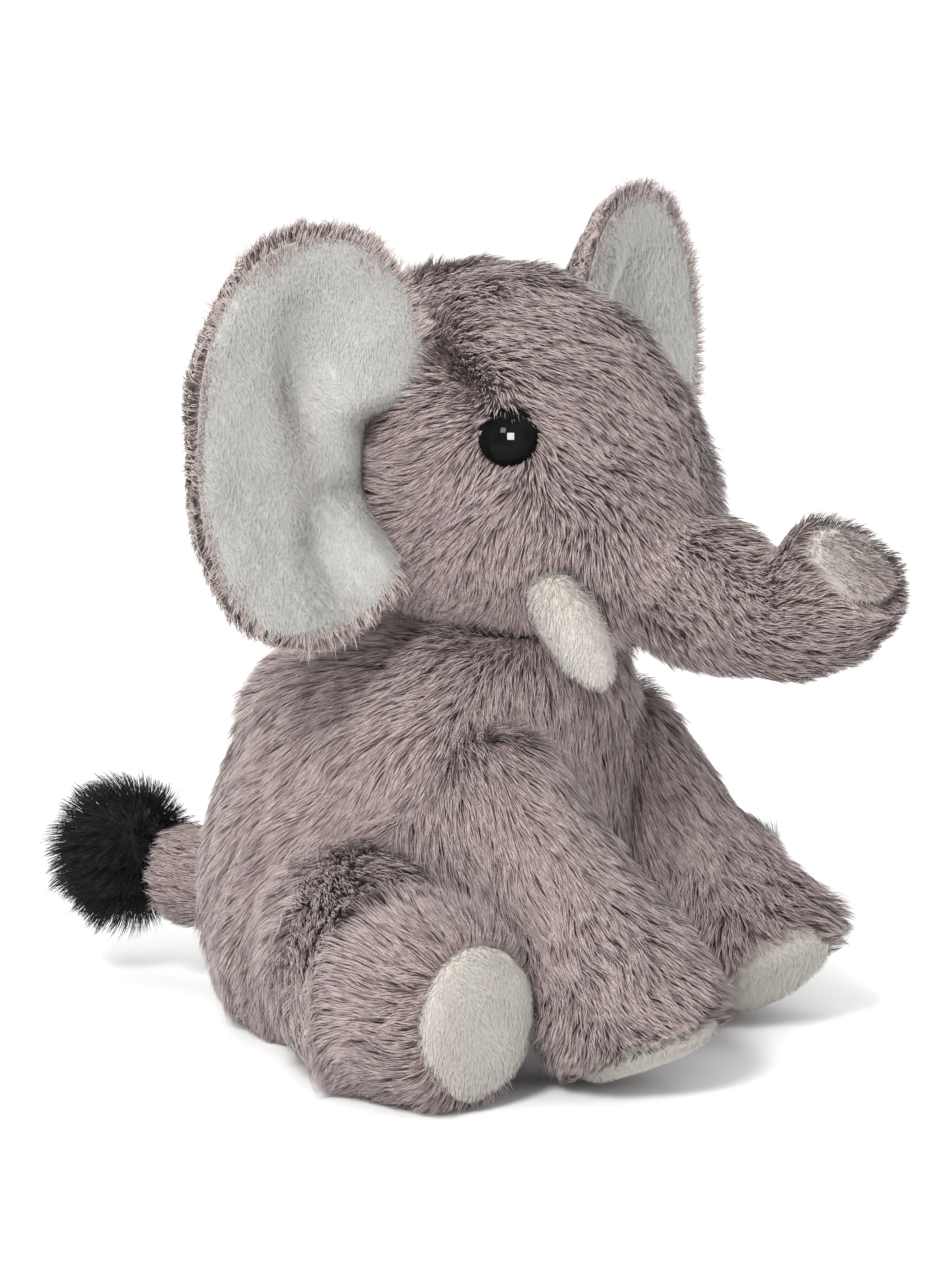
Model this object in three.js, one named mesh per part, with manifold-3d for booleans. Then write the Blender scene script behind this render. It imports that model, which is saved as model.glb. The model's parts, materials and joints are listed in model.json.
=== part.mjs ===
// A sitting stuffed elephant, 17 cm tall, sewn from plush panels over stuffing.
// Millimetres, +Z up. It faces -Y, and its right side is on -X. The floor is z = 0, under the seat.
// The head, trunk, ears, legs and tail are separate stuffed pieces, joined to each other by soft seams.
import * as THREE from "three";
import { mergeVertices } from "three/addons/utils/BufferGeometryUtils.js";
import Module from "manifold-3d";

const wasm = await Module();
wasm.setup();

// ---------- driving dimensions ----------
const SKIN = 2.4; // plush fabric, with its pile pressed flat
const GAP = 0.5; // clearance between neighbouring pieces
const SEAM = 0.3; // half of the gap along a seam between two cover panels
const FAR = 300; // larger than the toy
const PAD_DEPTH = 3; // how deep a sole or tip pad sits in the end of its limb
const LIMB_OVERRUN = 20; // how far a limb's sections run on before its end is cut off

const NECK = [0, -10, 0]; // the head turns on the upright line through this point
const NECK_TOP = 76.5; // the body ends here, and the head starts just above
const HEAD_TURN = -5; // degrees, towards its right
const NOD_PIVOT = [0, -10, 88];
const NOD_RANGE = [-3, 6, 14];

const TRUNK_PIVOT = [0, -45, 101];
const TRUNK_RANGE = [-12, 0, 18];
const TRUNK_END_AIM = [-0.24, -0.62, 0.75]; // the way the trunk's cut end faces, twisted to its right

const EAR_HINGE = [33, -4, 131];
const EAR_RANGE = [-20, -10, 0, 10, 20];

const FRONT_PIVOT = [28, -21, 69];
const FRONT_RANGE = [0, 6, 12.5, 19, 25];
const HIND_PIVOT = [37, 14, 26];
const TAIL_PIVOT = [0, 55, 26];
const TAIL_RANGE = [-25, 25];

const SIDES = [
  // The sitting toy isn't quite symmetric: its left hind leg points straight ahead, and its left
  // front leg stands steeper, with the foot rolled inwards. That leg stops the left hind leg's lift.
  { name: "right", sign: -1, kneeAt: 52, splay: 0.31, stride: 1, frontSole: [0, -0.4, -0.92], hindLift: 20 },
  { name: "left", sign: 1, kneeAt: 57, splay: 0.1, stride: 0, frontSole: [-0.22, -0.6, -0.78], hindLift: 11 },
];

// ---------- materials ----------
const cloth = (color, roughness = 1) =>
  new THREE.MeshStandardMaterial({ color, roughness, metalness: 0 });
const GREY_PLUSH = cloth(0x9c908d);
const PALE_VELVET = cloth(0xcfd2cc);
const CREAM_VELVET = cloth(0xd8d3c6);
const BLACK_PLUSH = cloth(0x16161a);
const STUFFING = cloth(0xf2f2ee);
const BEAN_BAG = cloth(0xe4dfd2);
const EYE_PLASTIC = cloth(0x0a0a0a, 0.08);
const WASHER_PLASTIC = cloth(0xdddddd, 0.5);

// ---------- solids ----------
const vector = (p) => new THREE.Vector3(...p);
const onSide = ([x, y, z], sign) => [sign * x, y, z];

function solid(geometry) {
  const bare = geometry.index ? geometry.toNonIndexed() : geometry.clone();
  bare.deleteAttribute("normal");
  bare.deleteAttribute("uv");
  const merged = mergeVertices(bare, 1e-4);
  return new wasm.Manifold(
    new wasm.Mesh({
      numProp: 3,
      vertProperties: new Float32Array(merged.attributes.position.array),
      triVerts: new Uint32Array(merged.index.array),
    }),
  );
}

function geometryOf(made) {
  const mesh = made.getMesh();
  const geometry = new THREE.BufferGeometry();
  geometry.setAttribute("position", new THREE.BufferAttribute(mesh.vertProperties, 3));
  geometry.setIndex(new THREE.BufferAttribute(mesh.triVerts, 1));
  return geometry;
}

function part(name, made, material) {
  const geometry = geometryOf(made);
  geometry.computeVertexNormals();
  const mesh = new THREE.Mesh(geometry, material);
  mesh.name = name;
  return mesh;
}

const cut = (made, ...tools) => tools.reduce((rest, tool) => rest.subtract(tool), made);

function block([x0, y0, z0], [x1, y1, z1]) {
  const box = new THREE.BoxGeometry(x1 - x0, y1 - y0, z1 - z0);
  box.translate((x0 + x1) / 2, (y0 + y1) / 2, (z0 + z1) / 2);
  return solid(box);
}

// Everything on one side of the middle seam.
const sideBlock = (sign) =>
  sign > 0 ? block([SEAM, -FAR, -FAR], [FAR, FAR, FAR]) : block([-FAR, -FAR, -FAR], [-SEAM, FAR, FAR]);

// Everything in front of a plane, which is `way` further along `aim` than `point`.
function ahead(point, aim, way = 0) {
  const box = new THREE.BoxGeometry(FAR, FAR, FAR).translate(0, 0, FAR / 2);
  const facing = vector(aim).normalize();
  box.applyQuaternion(new THREE.Quaternion().setFromUnitVectors(new THREE.Vector3(0, 0, 1), facing));
  const start = vector(point).addScaledVector(facing, way);
  return solid(box.translate(start.x, start.y, start.z));
}

// A closed body along a smooth spine. Each station gives a centre and the half width and half depth
// of the section there. `blunt` sets how square the ends are, and `inflate` grows the body all over.
function loftGeometry(stations, { around = 18, along = 10, blunt = 4, inflate = 0 } = {}) {
  const spine = new THREE.CatmullRomCurve3(stations.map((s) => vector(s.at)), false, "catmullrom", 0.5);
  const halves = new THREE.CatmullRomCurve3(
    stations.map((s) => new THREE.Vector3(s.half[0], s.half[1], 0)),
    false,
    "catmullrom",
    0.5,
  );
  const points = [];
  for (let i = 0; i <= along; i++) {
    const t = (1 - Math.cos((Math.PI * i) / along)) / 2;
    const offCentre = 2 * t - 1;
    const full = (1 - Math.abs(offCentre) ** blunt) ** (1 / blunt);
    const tangent = spine.getTangent(t);
    const across = new THREE.Vector3(1, 0, 0).addScaledVector(tangent, -tangent.x).normalize();
    const deep = tangent.clone().cross(across);
    const half = halves.getPoint(t);
    const centre = spine.getPoint(t).addScaledVector(tangent, inflate * offCentre);
    if (i === 0 || i === along) {
      points.push(centre);
      continue;
    }
    for (let j = 0; j < around; j++) {
      const angle = (2 * Math.PI * j) / around;
      points.push(
        centre
          .clone()
          .addScaledVector(across, (half.x + inflate) * full * Math.cos(angle))
          .addScaledVector(deep, (half.y + inflate) * full * Math.sin(angle)),
      );
    }
  }
  const last = points.length - 1;
  const at = (ring, j) => 1 + (ring - 1) * around + (j % around);
  const faces = [];
  for (let j = 0; j < around; j++) {
    faces.push(0, at(1, j + 1), at(1, j));
    faces.push(last, at(along - 1, j), at(along - 1, j + 1));
    for (let ring = 1; ring < along - 1; ring++) {
      faces.push(at(ring, j), at(ring, j + 1), at(ring + 1, j));
      faces.push(at(ring, j + 1), at(ring + 1, j + 1), at(ring + 1, j));
    }
  }
  return new THREE.BufferGeometry().setFromPoints(points).setIndex(faces);
}

const loft = (stations, options) => solid(loftGeometry(stations, options));

// The same geometry turned about a line, in degrees.
function turned(geometry, pivot, axis, degrees) {
  const spin = new THREE.Quaternion().setFromAxisAngle(vector(axis), THREE.MathUtils.degToRad(degrees));
  const home = vector(pivot);
  return geometry
    .clone()
    .translate(-home.x, -home.y, -home.z)
    .applyQuaternion(spin)
    .translate(home.x, home.y, home.z);
}

// The room that a body needs at each of the given angles of its joint.
const swept = (geometry, pivot, axis, angles) =>
  angles.map((angle) => solid(turned(geometry, pivot, axis, angle)));

// A fabric tube with a round inner end and an open outer end, its stuffing, and the pad that closes it.
function stuffedLimb(stations, padHalf, aim, options) {
  const end = stations[stations.length - 1];
  // The sections run on past the end, so the cut leaves a full-sized opening.
  const past = vector(end.at).addScaledVector(vector(aim).normalize(), LIMB_OVERRUN);
  const long = [...stations, { at: past.toArray(), half: end.half }];
  const grown = (inflate) => loft(long, { ...options, inflate });
  const padRoom = roundPad(end.at, aim, padHalf.map((half) => half + GAP), PAD_DEPTH + GAP);
  return {
    // What a joint must leave free round the limb.
    room: geometryOf(grown(GAP).subtract(ahead(end.at, aim, GAP))),
    cover: cut(grown(0), ahead(end.at, aim), grown(-SKIN), padRoom),
    stuffing: grown(-SKIN - GAP).subtract(ahead(end.at, aim, -PAD_DEPTH - GAP)),
    pad: roundPad(end.at, aim, padHalf, PAD_DEPTH),
  };
}

// An oval pad with a crowned face, let into the end of a limb.
function roundPad(centre, aim, [halfWidth, halfHeight], depth) {
  const profile = [
    [0, -depth],
    [1, -depth],
    [1, -0.4],
    [0.86, 0.5],
    [0.55, 1.1],
    [0, 1.4],
  ].map(([r, z]) => new THREE.Vector2(r, z));
  const pad = new THREE.LatheGeometry(profile, 16).rotateX(Math.PI / 2).scale(halfWidth, halfHeight, 1);
  const facing = vector(aim).normalize();
  pad.applyQuaternion(new THREE.Quaternion().setFromUnitVectors(new THREE.Vector3(0, 0, 1), facing));
  return solid(pad.translate(...centre));
}

// ---------- hind legs: thigh, shank and an upright sole ----------
const SHANK_REACH = 30; // from the knee to the sole

function hindLeg({ sign, kneeAt, splay }) {
  const aim = [sign * splay, -0.95, -0.08];
  const knee = [sign * kneeAt, -8, 21];
  const foot = [knee[0] + aim[0] * SHANK_REACH, knee[1] + aim[1] * SHANK_REACH, 18.6];
  const stations = [
    { at: [sign * 35, 17, 27], half: [13, 21] },
    { at: [sign * 43, 5, 25], half: [17, 23] },
    { at: knee, half: [17, 19.5] },
    { at: [(knee[0] + foot[0]) / 2, (knee[1] + foot[1]) / 2, 19], half: [16.5, 17.8] },
    { at: foot, half: [16.8, 18.2] },
  ];
  return stuffedLimb(stations, [13.4, 14.8], aim, { along: 9, around: 16 });
}

// ---------- front legs: down and forward, with the sole tipped up at its front ----------
function frontLeg({ sign, stride, frontSole: aim }) {
  const stations = [
    { at: [sign * 25, -16 - stride, 68], half: [11.5, 12] },
    { at: [sign * 28, -20 - 2 * stride, 56], half: [12.5, 13] },
    { at: [sign * 29.5, -26 - 5.5 * stride, 41], half: [13, 14] },
    { at: [sign * 29.5, -38.5 - 6.5 * stride, 26], half: [14.3, 16] },
    { at: [sign * 29.5 + aim[0] * 12, -57, 12.6 - 4 * stride], half: [15, 18.3] },
  ];
  return stuffedLimb(stations, [11.5, 14.6], aim, { along: 10, around: 16 });
}

// ---------- body ----------
const TORSO = [
  { at: [0, 13, -13], half: [33, 26] },
  { at: [0, 15.5, 3], half: [39, 34.5] },
  { at: [0, 16, 14], half: [44, 40] },
  { at: [0, 15, 30], half: [47, 42] },
  { at: [0, 11, 50], half: [43, 40.5] },
  { at: [0, 3.5, 68], half: [37, 35.5] },
  { at: [0, -5, 84], half: [30, 28] },
  { at: [0, -9, 98], half: [22, 20] },
];
const TORSO_LOFT = { around: 22, along: 12, blunt: 5 };
const POUCH_LOFT = { around: 12, along: 6, blunt: 2.2 };
const POUCH = [
  { at: [0, 40, 19], half: [14, 10] },
  { at: [0, 18, 18], half: [17, 12] },
  { at: [0, -4, 19], half: [14, 10] },
];

const limbs = SIDES.map((side) => ({
  ...side,
  hind: hindLeg(side),
  front: frontLeg(side),
}));

const tailStations = [
  { at: [0, 50, 27], half: [8.5, 8.5] },
  { at: [0, 62, 25], half: [9.3, 9.3] },
  { at: [0, 74, 24.5], half: [9.3, 9.3] },
];
const tail = stuffedLimb(tailStations, [6, 6], [0, 1, 0], { along: 7, around: 12 });
const pompom = loft(
  [
    { at: [0, 77, 26], half: [9, 9] },
    { at: [0, 90, 27.5], half: [14, 14.5] },
    { at: [0, 104, 27], half: [9, 9] },
  ],
  { around: 16, along: 9, blunt: 2.4 },
);

const RAISE = [-1, 0, 0]; // turning about this lifts whatever points forward
const UPRIGHT = [0, 0, 1];
const limbRooms = [
  ...limbs.flatMap(({ sign, hind, front, hindLift }) => [
    ...swept(hind.room, onSide(HIND_PIVOT, sign), RAISE, [0, hindLift]),
    ...swept(front.room, onSide(FRONT_PIVOT, sign), RAISE, FRONT_RANGE),
  ]),
  ...swept(tail.room, TAIL_PIVOT, UPRIGHT, TAIL_RANGE),
];

// The gathered ring of fabric where the head is sewn to the body.
function neckRing(grow) {
  const section = new THREE.Path().absellipse(19, 79.5, 3 + grow, 7 + grow, 0, 2 * Math.PI, false);
  return new THREE.LatheGeometry(section.getPoints(4), 20)
    .rotateX(Math.PI / 2)
    .translate(NECK[0], NECK[1], 0);
}

function bodyParts() {
  const keptHeight = block([-FAR, -FAR, SKIN + GAP], [FAR, FAR, NECK_TOP]);
  const shell = loft(TORSO, TORSO_LOFT)
    .subtract(loft(TORSO, { ...TORSO_LOFT, inflate: -SKIN }))
    .intersect(keptHeight);
  const openShell = cut(shell, ...limbRooms, solid(neckRing(GAP)));
  const seat = cut(
    loft(TORSO, { ...TORSO_LOFT, inflate: -GAP }).intersect(block([-FAR, -FAR, 0], [FAR, FAR, SKIN])),
    ...limbRooms,
  );
  const filling = cut(
    loft(TORSO, { ...TORSO_LOFT, along: 10, around: 20, inflate: -SKIN - 3 * GAP }).intersect(
      block([-FAR, -FAR, SKIN + GAP], [FAR, FAR, NECK_TOP - GAP]),
    ),
    ...limbRooms,
    solid(neckRing(GAP)),
    loft(POUCH, { ...POUCH_LOFT, inflate: GAP }),
    block([-13, 2, 0], [13, 34, 18]), // the pouch lies on the seat, with no stuffing under it
  );
  return [
    part("body_cover_left", openShell.intersect(sideBlock(1)), GREY_PLUSH),
    part("body_cover_right", openShell.intersect(sideBlock(-1)), GREY_PLUSH),
    part("seat_panel", seat, GREY_PLUSH),
    part("body_stuffing", filling, STUFFING),
    part("bean_pouch", loft(POUCH, POUCH_LOFT), BEAN_BAG),
  ];
}

// ---------- head, built facing straight ahead and then turned ----------
const HEAD = [
  { at: [0, 31, 127], half: [21, 24] },
  { at: [0, 17, 126], half: [31, 34] },
  { at: [0, 2, 123.5], half: [35, 38.5] },
  { at: [0, -14, 118], half: [35, 37.3] },
  { at: [0, -28.5, 110.8], half: [30.5, 29.8] },
  { at: [0, -42, 103.5], half: [23.5, 20.5] },
  { at: [0, -53, 100], half: [17.5, 17.5] },
];
const HEAD_LOFT = { around: 22, along: 12, blunt: 3 };
const GUSSET_HALF = 12; // half the width of the strip over the top of the head
const GUSSET_FROM = 118; // the height where the strip starts

const TRUNK = [
  { at: [0, -41, 103], half: [15.5, 15.5] },
  { at: [0, -52, 98.5], half: [15, 15.5] },
  { at: [0, -63, 95], half: [12.8, 13] },
  { at: [0, -74, 94.5], half: [12, 12.2] },
  { at: [0, -83, 98.5], half: [12.6, 12.8] },
  { at: [0, -89, 106], half: [12.8, 13.2] },
];
const trunk = stuffedLimb(TRUNK, [8.6, 9.4], TRUNK_END_AIM, { around: 16, along: 10 });

const TUSK = [
  { at: [25, -32.5, 103.5], half: [5.2, 5.6] },
  { at: [26.5, -40.5, 93.5], half: [6.3, 6.6] },
  { at: [27.5, -50.5, 81.5], half: [5.6, 5.8] },
];
const TUSK_LOFT = { around: 12, along: 6, blunt: 2.2 };
const TUSK_SKIN = 1.2; // velvet without a long pile
const TUSK_ROOT_AIM = [0, 0.5, 0.86]; // the tusk's cover is open this way, where it is sewn on
const TUSK_OPEN = 3; // how far that opening is cut back from the root

const tuskSolid = (sign, inflate) =>
  loft(TUSK.map(({ at, half }) => ({ at: onSide(at, sign), half })), { ...TUSK_LOFT, inflate });

const EYE_AT = [28.8, -27.6, 129.6];
const EYE_AIM = [0.8, -0.5, 0.33];
const EYE_RADIUS = 6;
const DOME_HEIGHT = 4.2;
const EYE_RIM = 0.8; // thickness of the eye's edge, under the dome
const SHANK_RADIUS = 1.4;
const SHANK_LENGTH = 9;
const WASHER = { hole: 1.9, radius: 6.5, front: -4, back: -5.4 };

// A turned part that stands on the head's surface at the eye, along the eye's own axis.
function atEye(profile, sign, segments = 14) {
  const facing = vector(onSide(EYE_AIM, sign)).normalize();
  return new THREE.LatheGeometry(profile.map(([r, z]) => new THREE.Vector2(r, z)), segments)
    .rotateX(Math.PI / 2)
    .applyQuaternion(new THREE.Quaternion().setFromUnitVectors(new THREE.Vector3(0, 0, 1), facing))
    .translate(...onSide(EYE_AT, sign));
}

// A domed eye on a shank: the shank goes through the fabric, and a washer locks it from inside.
function eyeProfile(grow) {
  const dome = [75, 60, 45, 30, 15].map((degrees) => {
    const angle = THREE.MathUtils.degToRad(degrees);
    return [(EYE_RADIUS + grow) * Math.sin(angle), (DOME_HEIGHT + grow) * Math.cos(angle)];
  });
  return [
    [0, -SHANK_LENGTH - grow],
    [SHANK_RADIUS + grow, -SHANK_LENGTH - grow],
    [SHANK_RADIUS + grow, -EYE_RIM - grow],
    [EYE_RADIUS + grow, -EYE_RIM - grow],
    [EYE_RADIUS + grow, 0],
    ...dome,
    [0, DOME_HEIGHT + grow],
  ];
}
const washerProfile = [
  [WASHER.hole, WASHER.back],
  [WASHER.radius, WASHER.back],
  [WASHER.radius, WASHER.front],
  [WASHER.hole, WASHER.front],
  [WASHER.hole, WASHER.back],
];
const washerRoom = [
  [0, -SHANK_LENGTH - 2 * GAP],
  [WASHER.radius + GAP, -SHANK_LENGTH - 2 * GAP],
  [WASHER.radius + GAP, 0],
  [0, 0],
];

function headParts() {
  const parts = [];
  const tuskRooms = SIDES.map(({ sign }) => tuskSolid(sign, GAP));
  const eyeRooms = SIDES.map(({ sign }) => solid(atEye(eyeProfile(GAP), sign)));
  const trunkRooms = swept(trunk.room, TRUNK_PIVOT, RAISE, TRUNK_RANGE);
  // The head nods over the ring, so seen from the head the ring turns the other way.
  const ringRooms = swept(neckRing(GAP), NOD_PIVOT, RAISE, NOD_RANGE.map((angle) => -angle));
  const rooms = [...tuskRooms, ...eyeRooms, ...trunkRooms, ...ringRooms];

  const overBody = block([-FAR, -FAR, NECK_TOP + GAP], [FAR, FAR, FAR]);
  const shell = cut(
    loft(HEAD, HEAD_LOFT).subtract(loft(HEAD, { ...HEAD_LOFT, inflate: -SKIN })).intersect(overBody),
    ...rooms,
  );
  // The gusset is the strip over the top of the head, from the nape to the root of the trunk.
  const strip = (half) => block([-half, -FAR, GUSSET_FROM], [half, FAR, FAR]);
  parts.push(part("head_gusset", shell.intersect(strip(GUSSET_HALF - SEAM)), GREY_PLUSH));
  const panels = shell.subtract(strip(GUSSET_HALF + SEAM));
  SIDES.forEach(({ name, sign }) => {
    parts.push(part(`head_cover_${name}`, panels.intersect(sideBlock(sign)), GREY_PLUSH));
  });

  const washerRooms = SIDES.map(({ sign }) => solid(atEye(washerRoom, sign, 12)));
  const filling = loft(HEAD, { ...HEAD_LOFT, around: 20, along: 10, inflate: -SKIN - 3 * GAP });
  parts.push(part("head_stuffing", cut(filling.intersect(overBody), ...rooms, ...washerRooms), STUFFING));

  SIDES.forEach(({ name, sign }) => {
    parts.push(part(`eye_${name}`, solid(atEye(eyeProfile(0), sign)), EYE_PLASTIC));
    parts.push(part(`eye_washer_${name}`, solid(atEye(washerProfile, sign)), WASHER_PLASTIC));
    const opening = ahead(onSide(TUSK[0].at, sign), TUSK_ROOT_AIM, -TUSK_OPEN);
    const tuskCover = cut(tuskSolid(sign, 0), tuskSolid(sign, -TUSK_SKIN), opening);
    const tuskCore = tuskSolid(sign, -TUSK_SKIN - GAP).subtract(opening);
    parts.push(part(`tusk_cover_${name}`, tuskCover, CREAM_VELVET));
    parts.push(part(`tusk_stuffing_${name}`, tuskCore, STUFFING));
  });
  return parts;
}

// ---------- ears: two cupped panels, sewn together round the edge ----------
const EAR_CENTRE = [57.5, 130.5]; // from the middle of the head, and height
const EAR_HALF = [31.5, 40];
const EAR_SWEEP = Math.tan(THREE.MathUtils.degToRad(10));
const EAR_CUP = 5; // how far the middle lies behind the edge
const EAR_ROUNDNESS = 2.3; // 2 would make the outline an ellipse
const EAR_BACK = { inner: 9, outer: 4.5 }; // the plush panel is stuffed out most beside the head
const EAR_FRONT = 3; // the velvet panel
const EAR_RIM = 2; // how far the velvet stays inside the ear's edge
const EAR_RINGS = 4;
const EAR_AROUND = 24;

// The face between the ear's panels: how far back it is at a place out from the head.
const earMiddle = (x, reach) =>
  EAR_HINGE[1] - EAR_RIM + (x - EAR_HINGE[0]) * EAR_SWEEP + EAR_CUP * (1 - reach ** 2);

function earOutline(angle, inset) {
  const rounded = (value) => Math.sign(value) * Math.abs(value) ** (2 / EAR_ROUNDNESS);
  return [(EAR_HALF[0] - inset) * rounded(Math.cos(angle)), (EAR_HALF[1] - inset) * rounded(Math.sin(angle))];
}

// One panel of an ear. Its flat face is the ear's middle face moved back by `offset`, and its other
// face swells from that by the thickness, which runs from `inner` beside the head to `outer`.
function earPanel(sign, { inset, inner, outer, offset }) {
  const points = [];
  const faces = [];
  const push = (ring, angle, swollen) => {
    const reach = ring / EAR_RINGS;
    const [dx, dz] = earOutline(angle, inset).map((length) => length * reach);
    const x = EAR_CENTRE[0] + dx;
    const thickness = THREE.MathUtils.lerp(inner, outer, (dx / EAR_HALF[0] + 1) / 2);
    const bulge = swollen ? thickness * Math.sqrt(1 - reach ** 4) : 0;
    points.push(new THREE.Vector3(sign * x, earMiddle(x, reach) + offset + bulge, EAR_CENTRE[1] + dz));
  };
  [false, true].forEach((swollen) => {
    push(0, 0, swollen);
    // The outermost ring is shared by the two faces.
    const rings = swollen ? EAR_RINGS - 1 : EAR_RINGS;
    for (let ring = 1; ring <= rings; ring++)
      for (let j = 0; j < EAR_AROUND; j++) push(ring, (2 * Math.PI * j) / EAR_AROUND, swollen);
  });
  const flatPoints = 1 + EAR_RINGS * EAR_AROUND;
  const at = (swollen, ring, j) => {
    const first = swollen && ring < EAR_RINGS ? flatPoints : 0;
    return ring === 0 ? first : first + 1 + (ring - 1) * EAR_AROUND + (j % EAR_AROUND);
  };
  [false, true].forEach((swollen) => {
    const add = (a, b, c) => faces.push(...(swollen ? [c, b, a] : [a, b, c]));
    for (let j = 0; j < EAR_AROUND; j++) {
      add(at(swollen, 0, j), at(swollen, 1, j), at(swollen, 1, j + 1));
      for (let ring = 1; ring < EAR_RINGS; ring++) {
        add(at(swollen, ring, j), at(swollen, ring + 1, j), at(swollen, ring + 1, j + 1));
        add(at(swollen, ring, j), at(swollen, ring + 1, j + 1), at(swollen, ring, j + 1));
      }
    }
  });
  const made = solid(new THREE.BufferGeometry().setFromPoints(points).setIndex(faces));
  // Mirroring to the other side, and swelling forwards, each turn the faces round.
  return made.volume() > 0
    ? made
    : solid(new THREE.BufferGeometry().setFromPoints(points).setIndex(faces.reverse()));
}

function earParts({ name, sign }) {
  const headGeometry = loftGeometry(HEAD, { ...HEAD_LOFT, inflate: GAP });
  const headRooms = swept(headGeometry, onSide(EAR_HINGE, sign), UPRIGHT, EAR_RANGE);
  const back = earPanel(sign, { inset: 0, ...EAR_BACK, offset: 0 });
  const front = earPanel(sign, { inset: EAR_RIM, inner: -EAR_FRONT, outer: -EAR_FRONT, offset: -GAP });
  return [
    part(`ear_back_${name}`, cut(back, ...headRooms), GREY_PLUSH),
    part(`ear_front_${name}`, cut(front, ...headRooms), PALE_VELVET),
  ];
}

// ---------- assembly ----------
const elephant = new THREE.Group();
elephant.add(...bodyParts());
elephant.add(part("neck_ring", solid(neckRing(0)), GREY_PLUSH));

limbs.forEach(({ name, hind, front }) => {
  [["hind", hind], ["front", front]].forEach(([pair, limb]) => {
    elephant.add(part(`${pair}_leg_cover_${name}`, limb.cover, GREY_PLUSH));
    elephant.add(part(`${pair}_leg_stuffing_${name}`, limb.stuffing, STUFFING));
    elephant.add(part(`${pair}_sole_${name}`, limb.pad, CREAM_VELVET));
  });
});

elephant.add(part("tail_cover", tail.cover, GREY_PLUSH));
elephant.add(part("tail_stuffing", tail.stuffing, STUFFING));
elephant.add(part("tail_pompom", pompom, BLACK_PLUSH));

const headTurn = new THREE.Group();
headTurn.position.set(...NECK);
headTurn.rotation.z = THREE.MathUtils.degToRad(HEAD_TURN);
const head = new THREE.Group();
head.position.set(-NECK[0], -NECK[1], -NECK[2]);
headTurn.add(head);
elephant.add(headTurn);
head.add(...headParts());
head.add(part("trunk_cover", trunk.cover, GREY_PLUSH));
head.add(part("trunk_stuffing", trunk.stuffing, STUFFING));
head.add(part("trunk_tip_pad", trunk.pad, CREAM_VELVET));
SIDES.forEach((side) => head.add(...earParts(side)));

export default elephant;
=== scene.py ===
import json
import math
from dataclasses import dataclass, replace

import bmesh
import bpy
import numpy as np
from mathutils import Matrix, Vector
from mathutils.bvhtree import BVHTree
from mathutils.kdtree import KDTree


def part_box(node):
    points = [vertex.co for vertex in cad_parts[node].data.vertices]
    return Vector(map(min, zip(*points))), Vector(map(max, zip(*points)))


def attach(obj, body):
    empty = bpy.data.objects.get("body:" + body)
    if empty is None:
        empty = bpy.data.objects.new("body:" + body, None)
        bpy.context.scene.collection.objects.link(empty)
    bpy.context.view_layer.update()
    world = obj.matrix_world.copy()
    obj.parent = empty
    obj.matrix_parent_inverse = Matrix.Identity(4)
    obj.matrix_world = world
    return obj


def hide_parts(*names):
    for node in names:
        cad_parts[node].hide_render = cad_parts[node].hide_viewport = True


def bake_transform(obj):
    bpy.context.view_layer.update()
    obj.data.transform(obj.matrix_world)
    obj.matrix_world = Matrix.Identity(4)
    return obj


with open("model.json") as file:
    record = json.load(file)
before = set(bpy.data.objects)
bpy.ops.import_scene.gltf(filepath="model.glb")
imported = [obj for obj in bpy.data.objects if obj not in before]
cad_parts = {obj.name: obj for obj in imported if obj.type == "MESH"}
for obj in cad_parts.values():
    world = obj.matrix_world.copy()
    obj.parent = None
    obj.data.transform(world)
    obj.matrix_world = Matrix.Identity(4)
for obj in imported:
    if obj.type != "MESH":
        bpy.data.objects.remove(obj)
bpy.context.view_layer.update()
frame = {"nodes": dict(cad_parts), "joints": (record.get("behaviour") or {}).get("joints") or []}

MM = 0.001
SIDES = {"right": -1, "left": 1}
HEAD_TURN = math.radians(-5)  # the head looks a little to its right
NECK_LINE = Vector((0, -10 * MM, 0))

scene = bpy.context.scene
nodes = frame["nodes"]


# ---------- places ----------
def joint_place(name):
    """Where the named joint's axis passes, in the row frame."""
    found = next(j for j in frame["joints"] if j["name"] == name)
    return Vector(found["pos_m"])


def middle(*names):
    """The middle of the box round some CAD nodes."""
    corners = [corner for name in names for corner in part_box(name)]
    low = Vector([min(c[k] for c in corners) for k in range(3)])
    high = Vector([max(c[k] for c in corners) for k in range(3)])
    return (low + high) / 2


def from_head(x, y, z):
    """A place or direction in millimetres, given for a head that looks straight ahead."""
    turned = Matrix.Rotation(HEAD_TURN, 3, "Z") @ (Vector((x, y, z)) * MM - NECK_LINE)
    return turned + NECK_LINE


# ---------- meshes ----------
def add_object(name, mesh):
    made = bpy.data.objects.new(name, mesh)
    scene.collection.objects.link(made)
    return made


def mesh_from(bm, name):
    mesh = bpy.data.meshes.new(name)
    bm.to_mesh(mesh)
    bm.free()
    return mesh


def welded(names, grow=0.0):
    """The CAD nodes together in one bmesh, each grown by a distance along its normals."""
    bm = bmesh.new()
    for name in names:
        bm.from_mesh(nodes[name].data)
    bmesh.ops.remove_doubles(bm, verts=bm.verts, dist=1e-6)
    bm.normal_update()
    moves = [(v, v.normal * grow) for v in bm.verts]
    for v, move in moves:
        v.co += move
    return bm


def hull(names, inside=None):
    """The convex hull of the CAD nodes, or of their corners for which `inside` is true."""
    bm = welded(names)
    if inside:
        bmesh.ops.delete(bm, geom=[v for v in bm.verts if not inside(v.co)], context="VERTS")
    made = bmesh.ops.convex_hull(bm, input=bm.verts)
    spare = set(made["geom_interior"]) | set(made["geom_unused"])
    bmesh.ops.delete(bm, geom=[g for g in spare if isinstance(g, bmesh.types.BMVert)], context="VERTS")
    kept = {g for g in made["geom"] if isinstance(g, bmesh.types.BMFace)}
    bmesh.ops.delete(bm, geom=[f for f in bm.faces if f not in kept], context="FACES_ONLY")
    return bm


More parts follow.
